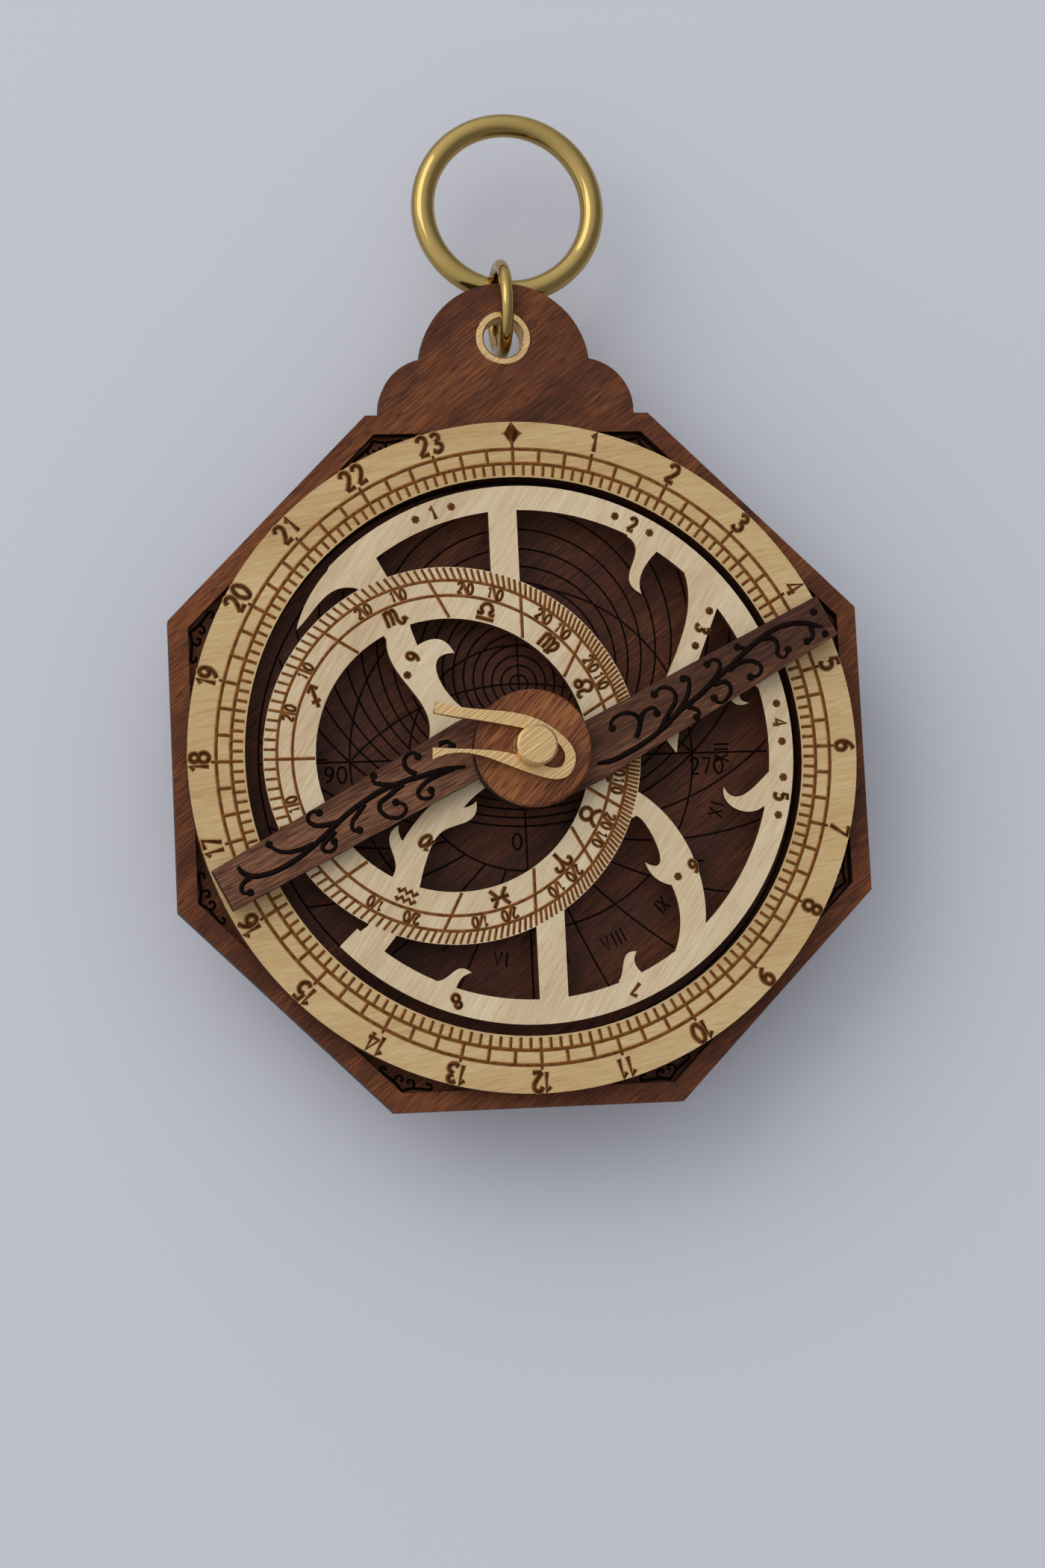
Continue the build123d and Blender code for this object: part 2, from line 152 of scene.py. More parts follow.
def grained(material, place, stops, pores, grain_degrees, pore_share):
    """The colour of the grain, and the noise of its fibres."""
    grain = add(
        material,
        "ShaderNodeMapping",
        {
            "Vector": place.outputs["Object"],
            "Rotation": (0, 0, math.radians(grain_degrees)),
            "Scale": (GRAIN_STRETCH, 1, 1),
        },
        vector_type="TEXTURE",
    ).outputs[0]
    tone = add(
        material,
        "ShaderNodeTexNoise",
        {"Vector": grain, "Scale": 1 / (TONE_MM * MM), "Detail": 3},
    ).outputs["Fac"]
    fibre = add(
        material,
        "ShaderNodeTexNoise",
        {"Vector": grain, "Scale": 1 / (FIBRE_MM * MM), "Detail": 2},
    ).outputs["Fac"]
    both = add(material, "ShaderNodeMath", {0: tone, 1: fibre}, operation="ADD").outputs[0]
    halved = add(material, "ShaderNodeMath", {0: both, 1: 0.5}, operation="MULTIPLY").outputs[0]
    colour = add(material, "ShaderNodeValToRGB", {"Fac": halved}, stops).outputs[0]
    pore = add(
        material,
        "ShaderNodeTexNoise",
        {"Vector": grain, "Scale": 1 / (PORE_MM * MM), "Detail": 0},
    ).outputs["Fac"]
    dashes = add(
        material,
        "ShaderNodeMapRange",
        {"Value": pore, "From Min": PORE_FROM, "From Max": PORE_TO, "To Max": pore_share},
    ).outputs[0]
    # Inputs 6 and 7 of a Mix node are its two colours, and output 2 is the mixed one
    pored = add(
        material,
        "ShaderNodeMix",
        {0: dashes, 6: colour, 7: linear(pores)},
        data_type="RGBA",
    ).outputs[2]
    return pored, fibre


print("fibres of", FIBRE_MM, "mm, in bands of", TONE_MM, "mm")

# %% [markdown]
# A laser leaves the walls that it cuts burnt, and they frame every board with a dark edge. The
# walls could be picked by hand on each mesh, but the direction that a face looks in tells them
# apart: on a board that lies flat, only a wall looks sideways. So one rule serves all boards, and
# one that stands on edge only needs another axis.

# %% Burnt walls
WALL_BELOW, FACE_ABOVE = 0.45, 0.75


def with_burnt_walls(material, place, colour, cut, face_axis):
    """The same colour on the board's faces, and the colour of the cut on its walls."""
    facing = add(material, "ShaderNodeSeparateXYZ", {0: place.outputs["Normal"]})
    upright = add(
        material, "ShaderNodeMath", {0: facing.outputs[face_axis]}, operation="ABSOLUTE"
    ).outputs[0]
    wall = add(
        material,
        "ShaderNodeMapRange",
        {
            "Value": upright,
            "From Min": WALL_BELOW,
            "From Max": FACE_ABOVE,
            "To Min": 1,
            "To Max": 0,
        },
    ).outputs[0]
    return add(
        material,
        "ShaderNodeMix",
        {0: wall, 6: colour, 7: linear(cut)},
        data_type="RGBA",
    ).outputs[2]


print("a wall leans at most", round(math.degrees(math.asin(WALL_BELOW))), "degrees from upright")

# %% [markdown]
# A whole wood joins the grain, the burnt walls and a fine relief of the fibres. The relief could
# be real geometry, but it is thinner than a hair, so bump is enough. Bare and waxed boards are
# fairly rough, which keeps their highlights soft and wide.

# %% Wood
WOOD_ROUGHNESS = 0.6
WOOD_IOR = 1.45
WOOD_SHINE = 0.3
RELIEF_MM = 0.04
RELIEF_STRENGTH = 0.35


def wood(name, stops, pores, cut, grain_degrees, pore_share, face_axis="Z"):
    """Board with its grain at an angle on the dial, and burnt walls where the laser cut it."""
    material = blank(name)
    place = add(material, "ShaderNodeTexCoord")
    colour, fibre = grained(material, place, stops, pores, grain_degrees, pore_share)
    relief = add(
        material,
        "ShaderNodeBump",
        {"Height": fibre, "Strength": RELIEF_STRENGTH, "Distance": RELIEF_MM * MM},
    )
    shader = add(
        material,
        "ShaderNodeBsdfPrincipled",
        {
            "Base Color": with_burnt_walls(material, place, colour, cut, face_axis),
            "Roughness": WOOD_ROUGHNESS,
            "IOR": WOOD_IOR,
            "Specular IOR Level": WOOD_SHINE,
            "Normal": relief.outputs[0],
        },
    )
    return finish_with(material, shader)


print("wood has an index of refraction of", WOOD_IOR)

# %% [markdown]
# The instrument has seven kinds of board: three reddish stained ones, two of pale maple, the
# walnut of the rule and the streaky wood of the boss. They share one recipe and differ in their
# colour stops, their pores, how dark the laser left their walls, and the angle of their grain,
# which is what sets them apart to the eye.

# %% Boards
CUT_DARK = "#1C100B"
CUT_BODY = "#2F1C12"
CUT_BOSS = "#2A160E"
CUT_PALE = "#4A2C16"
BODY_STOPS = [(0.34, "#3C1C0A"), (0.5, "#623217"), (0.66, "#8A4F26")]
BODY_PORES = "#30160F"
BODY_GRAIN, LIMB_GRAIN, NET_GRAIN, RULE_GRAIN, BOSS_GRAIN = 38, 10, 55, 26.5, 48
# Stained reddish board, sanded along a diagonal, with soft lighter streaks
body_wood = wood("stained_mahogany_board", BODY_STOPS, BODY_PORES, CUT_BODY, BODY_GRAIN, 0.75)
# The same board under the star net, with darker colour stops all over
PLATE_STOPS = [(0.34, "#33170A"), (0.5, "#4E2611"), (0.66, "#6E3A1C")]
plate_wood = wood("stained_mahogany_plate", PLATE_STOPS, "#1E0D08", CUT_DARK, BODY_GRAIN, 0.7)
# The vanes stand on edge, so their faces look along the dial and their edges are the burnt ones
vane_wood = wood(
    "stained_mahogany_vane", BODY_STOPS, BODY_PORES, CUT_DARK, BODY_GRAIN, 0.75, face_axis="Y"
)
# Pale maple ply of the hour ring, a little yellow from its wax
LIMB_STOPS = [(0.30, "#B8935F"), (0.5, "#CBAA76"), (0.70, "#D8BB8C")]
limb_wood = wood("waxed_maple_ply", LIMB_STOPS, "#A98450", CUT_PALE, LIMB_GRAIN, 0.35)
# Bare maple ply of the star net, whiter than the hour ring
NET_STOPS = [(0.30, "#C2A67E"), (0.5, "#D8C09A"), (0.70, "#E6D3B1")]
net_wood = wood("bare_maple_ply", NET_STOPS, "#B79A72", CUT_PALE, NET_GRAIN, 0.3)
# Walnut ply of the rule, a little greyer than the body, with its grain along the rule
RULE_STOPS = [(0.34, "#301709"), (0.5, "#57321D"), (0.66, "#875A3E")]
rule_wood = wood("oiled_walnut_rule", RULE_STOPS, "#2B1710", CUT_DARK, RULE_GRAIN, 0.8)
# The boss is cut from the reddish board too, where it has coarse pale streaks
BOSS_STOPS = [(0.37, "#43200C"), (0.5, "#683619"), (0.63, "#9C6135")]
boss_wood = wood("stained_mahogany_boss", BOSS_STOPS, "#3A1B10", CUT_BOSS, BOSS_GRAIN, 0.7)
boards = (body_wood, plate_wood, vane_wood, limb_wood, net_wood, rule_wood, boss_wood)
print("woods:", ", ".join(board.name for board in boards))

# %% [markdown]
# The fittings are brass. The two rings are polished, so they are smooth mirrors of the room with
# only a faint ripple. The pin, the horse and the bush were filed and sanded, which leaves fine
# scratches that spread the light. Both finishes are one recipe: noise drawn long in one direction
# changes the roughness and the relief. A metal keeps the default index of refraction.

# %% Brass
SCRATCH_STRETCH = 18
LEAST_ROUGH, MOST_ROUGH = 0.8, 1.25
SCRATCH_STRENGTH = 0.5


def brass(name, code, roughness, scratch_mm, depth_mm, turn_degrees):
    """Brass with scratches of a real width, drawn long in one direction."""
    material = blank(name)
    place = add(material, "ShaderNodeTexCoord")
    along = add(
        material,
        "ShaderNodeMapping",
        {
            "Vector": place.outputs["Object"],
            "Rotation": (0, 0, math.radians(turn_degrees)),
            "Scale": (SCRATCH_STRETCH, 1, 1),
        },
        vector_type="TEXTURE",
    )
    scratch = add(
        material,
        "ShaderNodeTexNoise",
        {"Vector": along.outputs[0], "Scale": 1 / (scratch_mm * MM), "Detail": 3},
    ).outputs["Fac"]
    rough = add(
        material,
        "ShaderNodeMapRange",
        {"Value": scratch, "To Min": roughness * LEAST_ROUGH, "To Max": roughness * MOST_ROUGH},
    )
    relief = add(
        material,
        "ShaderNodeBump",
        {"Height": scratch, "Strength": SCRATCH_STRENGTH, "Distance": depth_mm * MM},
    )
    shader = add(
        material,
        "ShaderNodeBsdfPrincipled",
        {
            "Base Color": linear(code),
            "Metallic": 1,
            "Roughness": rough.outputs[0],
            "Normal": relief.outputs[0],
        },
    )
    return finish_with(material, shader)


# Polished wire, with a ripple too shallow to see except in its highlights
polished_brass = brass(
    "polished_brass", "#AE9458", roughness=0.09, scratch_mm=0.8, depth_mm=0.004, turn_degrees=0
)
# Sanded bar and sheet, with scratches coarser and deeper than the real ones, so that they show
sanded_brass = brass(
    "sanded_brass", "#DDB881", roughness=0.34, scratch_mm=0.3, depth_mm=0.25, turn_degrees=35
)
print("brass:", polished_brass.name, sanded_brass.name)

# %% [markdown]
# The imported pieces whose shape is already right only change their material. New meshes could take
# their place, but then they would have to be kept in step with the solids. So each keeps its place
# and its mesh.

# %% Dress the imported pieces
DRESS = {
    body_wood: ("back_board", "rim_frame", "well_ring", "alidade"),
    plate_wood: ("tympan_plate", "hub_spacer"),
    limb_wood: ("limb_ring",),
    net_wood: ("rete", "plate_peg"),
    rule_wood: ("rule",),
    boss_wood: ("boss_disc",),
    vane_wood: ("sight_vane_upper", "sight_vane_lower"),
    sanded_brass: ("centre_pin", "horse", "eyelet_bush", "rear_washer"),
    polished_brass: ("shackle_ring", "suspension_ring"),
}
for material, nodes in DRESS.items():
    for node in nodes:
        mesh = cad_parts[node].data
        mesh.materials.clear()
        mesh.materials.append(material)
        print(node, "is", material.name)

# %% [markdown]
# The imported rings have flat-sided wire. Polished metal shows every facet, so two round rings take
# their place: a circle of vertices, spun once round the ring's axis and merged where it closes.
# The editor can add a whole torus too, but bmesh has no operator for one, and the spin does the
# same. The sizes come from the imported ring's own box.

# %% Round rings
WIRE_SIDES = 32
RING_STEPS = 128


def round_ring(node, body, axis, name):
    """A smooth ring that fills the box of a packed ring, and replaces it."""
    low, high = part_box(node)
    middle = (low + high) / 2
    size = high - low
    wire = size[axis]
    mean = (max(size) - wire) / 2
    ring = bmesh.new()
    section = bmesh.ops.create_circle(ring, segments=WIRE_SIDES, radius=wire / 2)["verts"]
    bmesh.ops.rotate(ring, verts=section, matrix=Matrix.Rotation(math.pi / 2, 3, "X"))
    bmesh.ops.translate(ring, verts=section, vec=(mean, 0, 0))
    bmesh.ops.spin(
        ring,
        geom=ring.verts[:] + ring.edges[:],
        axis=(0, 0, 1),
        angle=math.tau,
        steps=RING_STEPS,
        use_merge=True,
    )
    if axis == 0:
        bmesh.ops.rotate(ring, verts=ring.verts[:], matrix=Matrix.Rotation(math.pi / 2, 3, "Y"))
    bmesh.ops.translate(ring, verts=ring.verts[:], vec=middle)
    bmesh.ops.remove_doubles(ring, verts=ring.verts[:], dist=0.001 * MM)
    bmesh.ops.recalc_face_normals(ring, faces=ring.faces[:])
    mesh = bpy.data.meshes.new(name)
    ring.to_mesh(mesh)
    ring.free()
    mesh.shade_smooth()
    mesh.materials.append(polished_brass)
    piece = bpy.data.objects.new(name, mesh)
    bpy.context.scene.collection.objects.link(piece)
    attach(piece, body)
    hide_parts(node)
    print(name, "wire", round(wire / MM, 2), "mm, mean radius", round(mean / MM, 2), "mm")


round_ring("suspension_ring", "hanging_ring", 2, "hanging_ring_brass")
round_ring("shackle_ring", "shackle", 0, "shackle_brass")

# %% [markdown]
# A laser engraves by burning. A light burn leaves a brown line and a slow one a nearly black
# groove. A flat colour would do from afar, but patches of about a millimetre, from pale to dark,
# show the uneven burn up close. Charred wood hardly shines, so its specular level is near zero.

# %% Scorched wood
BURN_PATCH_MM = 0.9
BURN_ROUGHNESS = 0.9
BURN_SHINE = 0.1
DARK_BELOW, LIGHT_ABOVE = 0.35, 0.65


def burnt_line(name, light, dark):
    """Scorched wood, uneven between two tones."""
    material = blank(name)
    place = add(material, "ShaderNodeTexCoord")
    patches = add(
        material,
        "ShaderNodeTexNoise",
        {"Vector": place.outputs["Object"], "Scale": 1 / (BURN_PATCH_MM * MM), "Detail": 3},
    )
    colour = add(
        material,
        "ShaderNodeValToRGB",
        {"Fac": patches.outputs["Fac"]},
        [(DARK_BELOW, dark), (LIGHT_ABOVE, light)],
    )
    shader = add(
        material,
        "ShaderNodeBsdfPrincipled",
        {
            "Base Color": colour.outputs[0],
            "Roughness": BURN_ROUGHNESS,
            "Specular IOR Level": BURN_SHINE,
        },
    )
    return finish_with(material, shader)


scorch = burnt_line("scorched_line", "#8A5123", "#5E3412")
char = burnt_line("charred_mark", "#643816", "#3C1E0B")
soot = burnt_line("charred_groove", "#1A0C06", "#0C0502")
print("burns:", scorch.name, char.name, soot.name)

# %% [markdown]
# Each engraved line is one stroke: points on the dial in millimetres, counted from the pin, and a
# width that may change along the way. A smooth stroke passes through all its points. Keeping the
# strokes as plain lists first makes it easy to add hundreds of them in a loop.


# %% Strokes
def stroke(points, width, smooth=False, closed=False):
    """One engraved stroke: its points on the dial in millimetres, and its width there."""
    widths = width if isinstance(width, list) else [width] * len(points)
    return {"points": points, "widths": widths, "smooth": smooth, "closed": closed}


def polar(radius, degrees):
    """A point on the dial from its distance to the pin and its bearing."""
    return (radius * math.cos(math.radians(degrees)), radius * math.sin(math.radians(degrees)))


def circle(radius, width, x=0, y=0, parts=120):
    """A closed round stroke."""
    around = [polar(radius, 360 * i / parts) for i in range(parts)]
    return stroke([(x + px, y + py) for px, py in around], width, closed=True)


print("a circle has", len(circle(1, 1)["points"]), "points")

# %% [markdown]
# The grooves could be cut into the boards, but that would leave thousands of small faces in them.
# Here a stroke is a curve with a small diamond section. As a mesh it is pressed flat onto its
# board: its crest stands a fiftieth of a millimetre proud, too little to see from the side, and
# its keel is sunk in the wood, so the stroke is a closed solid that moves with its board.

# %% Engraving
CREST, EDGE = 0.02 * MM, 0.01 * MM
KEEL = 0.15 * MM
LEVEL_MM = 0.01
CURVE_STEPS = 5


def engrave(name, node, body, strokes, material, wider=1, crest=CREST, edge=EDGE):
    """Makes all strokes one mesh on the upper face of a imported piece."""
    surface = top_of(node)
    curve = bpy.data.curves.new(name, "CURVE")
    curve.dimensions = "3D"
    curve.twist_mode = "Z_UP"
    curve.bevel_depth = MM / 2
    curve.bevel_resolution = 0
    curve.resolution_u = CURVE_STEPS
    curve.use_fill_caps = True
    for item in strokes:
        spline = curve.splines.new("BEZIER" if item["smooth"] else "POLY")
        points = spline.bezier_points if item["smooth"] else spline.points
        points.add(len(item["points"]) - 1)
        for point, (x, y), width in zip(points, item["points"], item["widths"]):
            at = Vector((x * MM, y * MM, 0))
            if item["smooth"]:
                point.co = at
                point.handle_left_type = "AUTO"
                point.handle_right_type = "AUTO"
            else:
                point.co = at.to_4d()
            point.radius = width * wider
        spline.use_cyclic_u = item["closed"]
    drawn = bpy.data.objects.new(name + "_line", curve)
    mesh = bpy.data.meshes.new_from_object(drawn)
    bpy.data.objects.remove(drawn)
    bpy.data.curves.remove(curve)
    # The diamond's side corners lie at height zero, its crest above them and its keel below
    for vertex in mesh.vertices:
        height = vertex.co.z / MM
        vertex.co += pivot
        if abs(height) < LEVEL_MM:
            vertex.co.z = surface + edge
        else:
            vertex.co.z = surface + (crest if height > 0 else -KEEL)
    mesh.materials.clear()
    mesh.materials.append(material)
    mesh.name = name
    piece = bpy.data.objects.new(name, mesh)
    bpy.context.scene.collection.objects.link(piece)
    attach(piece, body)
    print(name, len(strokes), "strokes,", len(mesh.polygons), "faces")


print("a stroke stands", round(CREST / MM, 3), "mm proud")

# %% [markdown]
# On pale wood the heat of the laser also browns the board beside the line. A colour fade across
# each line would need a map of the board, so the same strokes are made a second time instead:
# wider, lighter and a little lower, they show on both sides of the dark line as its halo.

# %% Halo
HALO_CREST, HALO_EDGE = 0.009 * MM, 0.002 * MM
HALO_WIDTH = 1.75
toasted = burnt_line("toasted_halo", "#B58A57", "#A4784A")


def engrave_with_halo(name, node, body, strokes, material):
    """The same strokes twice on pale wood: the dark lines, and the browned wood beside them."""
    engrave(name, node, body, strokes, material)
    engrave(
        name + "_halo", node, body, strokes, toasted, HALO_WIDTH, HALO_CREST, HALO_EDGE
    )


print("a halo is", HALO_WIDTH, "times as wide as its line")

# %% [markdown]
# The numbers are plain ones. A text object could write them, but a font has letters with an
# outline and an inside, while the laser burns one line. So each digit is a few strokes in a box
# one unit high: straight bars, smooth bows and closed loops.


# %% Digits
def bar(*points):
    """A straight stroke of a mark, or several joined at corners."""
    return (points, False, False)


def bow(*points):
    """A smooth stroke of a mark."""
    return (points, True, False)


def loop(*points):
    """A smooth closed stroke of a mark."""
    return (points, True, True)


DIGITS = {
    "0": [loop((0.3, 1), (0.06, 0.72), (0.06, 0.28), (0.3, 0), (0.54, 0.28), (0.54, 0.72))],
    "1": [bar((0.12, 0.76), (0.33, 1), (0.33, 0))],
    "2": [
        bow((0.06, 0.76), (0.18, 0.98), (0.42, 0.98), (0.54, 0.74), (0.4, 0.42), (0.06, 0)),
        bar((0.06, 0.01), (0.58, 0.01)),
    ],
    "3": [
        bow((0.08, 0.88), (0.3, 1), (0.52, 0.8), (0.28, 0.55)),
        bow((0.28, 0.55), (0.57, 0.3), (0.32, 0), (0.05, 0.14)),
    ],
    "4": [bar((0.42, 0), (0.42, 1), (0.03, 0.3), (0.6, 0.3))],
    "5": [
        bar((0.53, 1), (0.14, 1), (0.11, 0.56)),
        bow((0.11, 0.56), (0.36, 0.63), (0.57, 0.34), (0.34, 0.02), (0.05, 0.1)),
    ],
    "6": [
        bow(
            (0.5, 0.98), (0.2, 0.74), (0.06, 0.34), (0.28, 0),
            (0.54, 0.24), (0.34, 0.54), (0.08, 0.36),
        )
    ],
    "7": [bar((0.05, 0.99), (0.57, 0.99), (0.22, 0))],
    "8": [
        loop((0.3, 0.54), (0.08, 0.77), (0.3, 1), (0.52, 0.77)),
        loop((0.3, 0.54), (0.04, 0.27), (0.3, 0), (0.56, 0.27)),
    ],
    "9": [
        bow(
            (0.1, 0.02), (0.4, 0.26), (0.54, 0.66), (0.32, 1),
            (0.06, 0.76), (0.26, 0.46), (0.52, 0.64),
        )
    ],
    "I": [bar((0.2, 0), (0.2, 1))],
    "V": [bar((0.02, 1), (0.3, 0), (0.58, 1))],
    "X": [bar((0.02, 1), (0.58, 0)), bar((0.02, 0), (0.58, 1))],
}
print("marks for numbers:", " ".join(DIGITS))

# %% [markdown]
# The sun's path is divided into the twelve signs of the zodiac. Their traditional marks are older
# than printing, and each is drawn with the same kinds of stroke in a box one unit wide. Shapes
# that two signs share are made once. The list starts at the autumn equinox.

# %% Signs of the zodiac
SIGN_LEGS = [
    bar((0.06, 0.05), (0.06, 0.92)),
    bow((0.06, 0.7), (0.2, 0.92), (0.32, 0.72), (0.32, 0.08)),
]


def small_o(x, y, radius):
    """A little round loop of a sign."""
    return loop(*[(x + radius * a, y + radius * b) for a, b in ((1, 0), (0, 1), (-1, 0), (0, -1))])


def wave(y):
    """A zigzag wave of a sign."""
    crests = [(0.2, y + 0.22), (0.54, y + 0.22), (0.88, y + 0.22)]
    troughs = [(0.02, y), (0.36, y), (0.7, y)]
    zigzag = [point for pair in zip(troughs, crests) for point in pair]
    return bar(*zigzag, (1, y + 0.06))


SIGNS = {
    "libra": [
        bar((0.05, 0.08), (0.95, 0.08)),
        bow(
            (0.05, 0.36), (0.32, 0.37), (0.22, 0.62), (0.5, 0.92),
            (0.78, 0.62), (0.68, 0.37), (0.95, 0.36),
        ),
    ],
    "scorpio": SIGN_LEGS
    + [
        bow((0.32, 0.7), (0.46, 0.92), (0.58, 0.7), (0.6, 0.25), (0.78, 0.05), (0.97, 0.3)),
        bar((0.8, 0.26), (0.97, 0.32), (1.04, 0.12)),
    ],
    "sagittarius": [
        bar((0.08, 0.08), (0.92, 0.92)),
        bar((0.5, 0.92), (0.92, 0.92), (0.92, 0.5)),
        bar((0.16, 0.5), (0.5, 0.16)),
    ],
    "capricorn": [
        bow((0.05, 0.92), (0.2, 0.86), (0.28, 0.2)),
        bow((0.28, 0.62), (0.46, 0.92), (0.58, 0.62), (0.58, 0.22), (0.36, 0)),
        small_o(0.76, 0.3, 0.17),
    ],
    "aquarius": [wave(0.16), wave(0.6)],
    "pisces": [
        bow((0.1, 0.98), (0.34, 0.5), (0.1, 0.02)),
        bow((0.9, 0.98), (0.66, 0.5), (0.9, 0.02)),
        bar((0.04, 0.5), (0.96, 0.5)),
    ],
    "aries": [
        bow((0.12, 0.6), (0.05, 0.84), (0.26, 0.98), (0.45, 0.72), (0.5, 0.02)),
        bow((0.88, 0.6), (0.95, 0.84), (0.74, 0.98), (0.55, 0.72), (0.5, 0.02)),
    ],
    "taurus": [
        small_o(0.5, 0.3, 0.3),
        bow((0.06, 1), (0.26, 0.7), (0.5, 0.6), (0.74, 0.7), (0.94, 1)),
    ],
    "gemini": [
        bar((0.32, 0.1), (0.32, 0.9)),
        bar((0.68, 0.1), (0.68, 0.9)),
        bow((0.06, 1), (0.3, 0.89), (0.7, 0.89), (0.94, 1)),
        bow((0.06, 0), (0.3, 0.11), (0.7, 0.11), (0.94, 0)),
    ],
    "cancer": [
        small_o(0.22, 0.66, 0.15),
        bow((0.08, 0.72), (0.4, 0.97), (0.94, 0.84)),
        small_o(0.78, 0.34, 0.15),
        bow((0.92, 0.28), (0.6, 0.03), (0.06, 0.16)),
    ],
    "leo": [
        small_o(0.24, 0.34, 0.17),
        bow(
            (0.38, 0.42), (0.26, 0.74), (0.5, 0.98), (0.76, 0.74),
            (0.6, 0.34), (0.68, 0.06), (0.94, 0.14),
        ),
    ],
    "virgo": SIGN_LEGS
    + [
        bow((0.32, 0.7), (0.46, 0.92), (0.58, 0.7), (0.58, 0.25), (0.74, 0.02)),
        bow((0.58, 0.64), (0.78, 0.82), (0.88, 0.55), (0.46, 0.02)),
    ],
}
print("signs:", ", ".join(SIGNS))

# %% [markdown]
# On a dial every mark stands upright to its own radius. One function sets the digits side by side,
# turns them so that their tops point at a bearing, and scales them. A stretch narrows or widens
# the marks to the room that they have.

# %% Write
DIGIT_WIDTH = 0.6
DIGIT_ADVANCE = 0.78
NARROW = {"1": 0.5, "I": 0.4}


def write(marks, x, y, height, width, degrees, stretch=1.0):
    """Digits or one sign, centred on a point, with their tops towards a bearing."""
    is_number = isinstance(marks, str)
    shapes = [DIGITS[mark] for mark in marks] if is_number else [marks]
    advances = [NARROW.get(mark, DIGIT_ADVANCE) for mark in marks] if is_number else [1.0]
    last_width = DIGIT_WIDTH if is_number else 1.0
    turn = math.radians(degrees - 90)
    made = []
    left = -(sum(advances) - advances[-1] + last_width) / 2
    for shape, advance in zip(shapes, advances):
        for points, smooth, closed in shape:
            placed = []
            for px, py in points:
                across = (left + px) * height * stretch
                out = (py - 0.5) * height
                placed.append(
                    (
                        x + across * math.cos(turn) - out * math.sin(turn),
                        y + across * math.sin(turn) + out * math.cos(turn),
                    )
                )
            made.append(stroke(placed, width, smooth, closed))
        left += advance
    return made


print("the number 12 has", len(write("12", 0, 0, 1, 1, 90)), "strokes")

# %% [markdown]
# The hour ring carries two rows of degrees: one line each five degrees in the outer row, and one
# each two degrees in the inner row. An array modifier could repeat one line, but a loop says the
# count and the spacing in one place.

# %% Hour ring scale
OUTER_CIRCLE, MIDDLE_CIRCLE, INNER_END = 46.4, 44.2, 42.35
LIMB_LINE, LIMB_FINE_LINE = 0.36, 0.32
hours = [circle(OUTER_CIRCLE, LIMB_LINE), circle(MIDDLE_CIRCLE, LIMB_LINE)]
for degree in range(0, 360, 5):
    hours.append(stroke([polar(MIDDLE_CIRCLE, degree), polar(OUTER_CIRCLE, degree)], LIMB_LINE))
for degree in range(0, 360, 2):
    hours.append(stroke([polar(INNER_END, degree), polar(MIDDLE_CIRCLE, degree)], LIMB_FINE_LINE))
engrave_with_halo("limb_degree_scale", "limb_ring", "mater", hours, scorch)

# %% [markdown]
# Outside the degrees stand twenty-four hours of fifteen degrees each, counted clockwise from a
# diamond at the top. The numbers are burnt slower than the scale, so they are darker. The diamond
# is filled by two strokes inside its outline, one of them thick in its middle.

# %% Hour numbers
HOUR_TICK_END = 47.1
HOUR_TICK_LINE = 0.3
HOUR_CIRCLE, HOUR_HEIGHT, HOUR_LINE, HOUR_STRETCH = 48.85, 2.8, 0.52, 0.98
DIAMOND = [
    (0, 50.4), (0.55, 49.5), (1.05, 48.8), (0.5, 48),
    (0, 47.2), (-0.5, 48), (-1.05, 48.8), (-0.55, 49.5),
]
DIAMOND_SPINE, SPINE_LINE = [(0, 50), (0, 47.6)], 0.4
DIAMOND_FILL, FILL_LINES = [(0, 49.7), (0, 48.8), (0, 47.9)], [0.5, 1.9, 0.5]
marks = []
for degree in range(0, 360, 15):
    tick = [polar(OUTER_CIRCLE, degree), polar(HOUR_TICK_END, degree)]
    marks.append(stroke(tick, HOUR_TICK_LINE))
for hour in range(1, 24):
    bearing = 90 - 15 * hour
    x, y = polar(HOUR_CIRCLE, bearing)
    marks += write(str(hour), x, y, HOUR_HEIGHT, HOUR_LINE, bearing, HOUR_STRETCH)
marks.append(stroke(DIAMOND, HOUR_TICK_LINE, closed=True))
marks.append(stroke(DIAMOND_SPINE, SPINE_LINE))
marks.append(stroke(DIAMOND_FILL, FILL_LINES))
engrave_with_halo("limb_hour_numbers", "limb_ring", "mater", marks, char)

# %% [markdown]
# The zodiac ring is the sun's path through the year, projected on the dial. A degree of the path
# lies where its right ascension and declination fall on the map, and each line of the scale
# points at the pin. The lines could be traced from the photograph, but the formula is exact, and
# it crowds the scale on the right by itself.

# %% Projection of the sun's path
OBLIQUITY = math.radians(23.44)
EQUATOR = 25.9
ZODIAC_X = -EQUATOR * math.tan(OBLIQUITY)


def bearing_of(longitude):
    """The bearing on the dial of a degree of the sun's path."""
    path = math.radians(longitude)
    return math.degrees(math.atan2(math.sin(path) * math.cos(OBLIQUITY), math.cos(path))) - 90


def on_zodiac(radius, longitude):
    """The point where the line of that degree meets a circle round the ring's own centre."""
    bearing = math.radians(bearing_of(longitude))
    reach = math.cos(bearing) * ZODIAC_X
    reach += math.sqrt(radius**2 - (ZODIAC_X * math.sin(bearing)) ** 2)
    return (reach * math.cos(bearing), reach * math.sin(bearing))


def outward(point):
    """The bearing of a point from the middle of the zodiac ring."""
    return math.degrees(math.atan2(point[1], point[0] - ZODIAC_X))


print("the zodiac ring's centre lies", round(-ZODIAC_X, 2), "mm left of the pin")

# %% [markdown]
# The ring is divided three times: lines between the signs reach right across it, shorter ones
# mark each ten degrees, and a fringe at its edge marks each two. The one loop for the long lines
# picks their inner end by whether a sign starts there.

